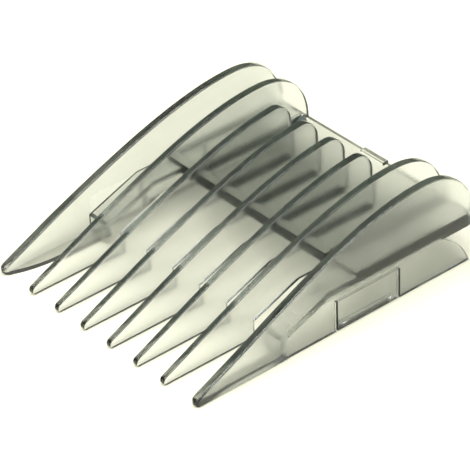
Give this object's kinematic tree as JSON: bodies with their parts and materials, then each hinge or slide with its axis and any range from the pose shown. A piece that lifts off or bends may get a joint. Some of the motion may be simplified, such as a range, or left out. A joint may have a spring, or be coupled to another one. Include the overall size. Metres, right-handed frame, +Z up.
{
  "type": "hair clipper guide comb",
  "caption": "Clip-on guide comb for a hair clipper: upright see-through teeth on a bridge plate, with side skirts whose snap tongues grip the clipper head.",
  "frame": {"origin": "middle of the comb's width and length, at the height of the teeth's and skirts' bottom edges", "axes": "+Z up, away from the skin; +Y from the tooth tips to the heel; +X to the comb's right"},
  "size_m": [0.0468, 0.0564, 0.0175],
  "materials": {
    "smoke_plastic": "polished, see-through, pale smoke tint",
    "satin_smoke_plastic": "see-through smoke tint, finely frosted on the outside"
  },
  "bodies": {
    "comb": {"bridge_plate": "smoke_plastic", "heel_lug": "smoke_plastic", "tooth_2": "smoke_plastic", "tooth_3": "smoke_plastic", "tooth_4": "smoke_plastic", "tooth_5": "smoke_plastic", "tooth_6": "smoke_plastic", "tooth_7": "smoke_plastic", "left_side_tooth": "satin_smoke_plastic", "right_side_tooth": "satin_smoke_plastic", "left_skirt": "smoke_plastic", "right_skirt": "smoke_plastic"},
    "left_tongue": {"left_snap_tongue": "smoke_plastic", "left_catch_rib": "smoke_plastic"},
    "right_tongue": {"right_snap_tongue": "smoke_plastic", "right_catch_rib": "smoke_plastic"}
  },
  "joints": [
    {"name": "left_tongue_flex", "type": "hinge", "parent": "comb", "child": "left_tongue", "pos_m": [-0.02265, 0.00585, 0.0052], "axis": [0, 1, 0], "range_deg": [-2, 8], "stiffness_Nm_per_rad": 0.05},
    {"name": "right_tongue_flex", "type": "hinge", "parent": "comb", "child": "right_tongue", "pos_m": [0.02265, 0.00585, 0.0052], "axis": [0, -1, 0], "range_deg": [-2, 8], "stiffness_Nm_per_rad": 0.05}
  ]
}
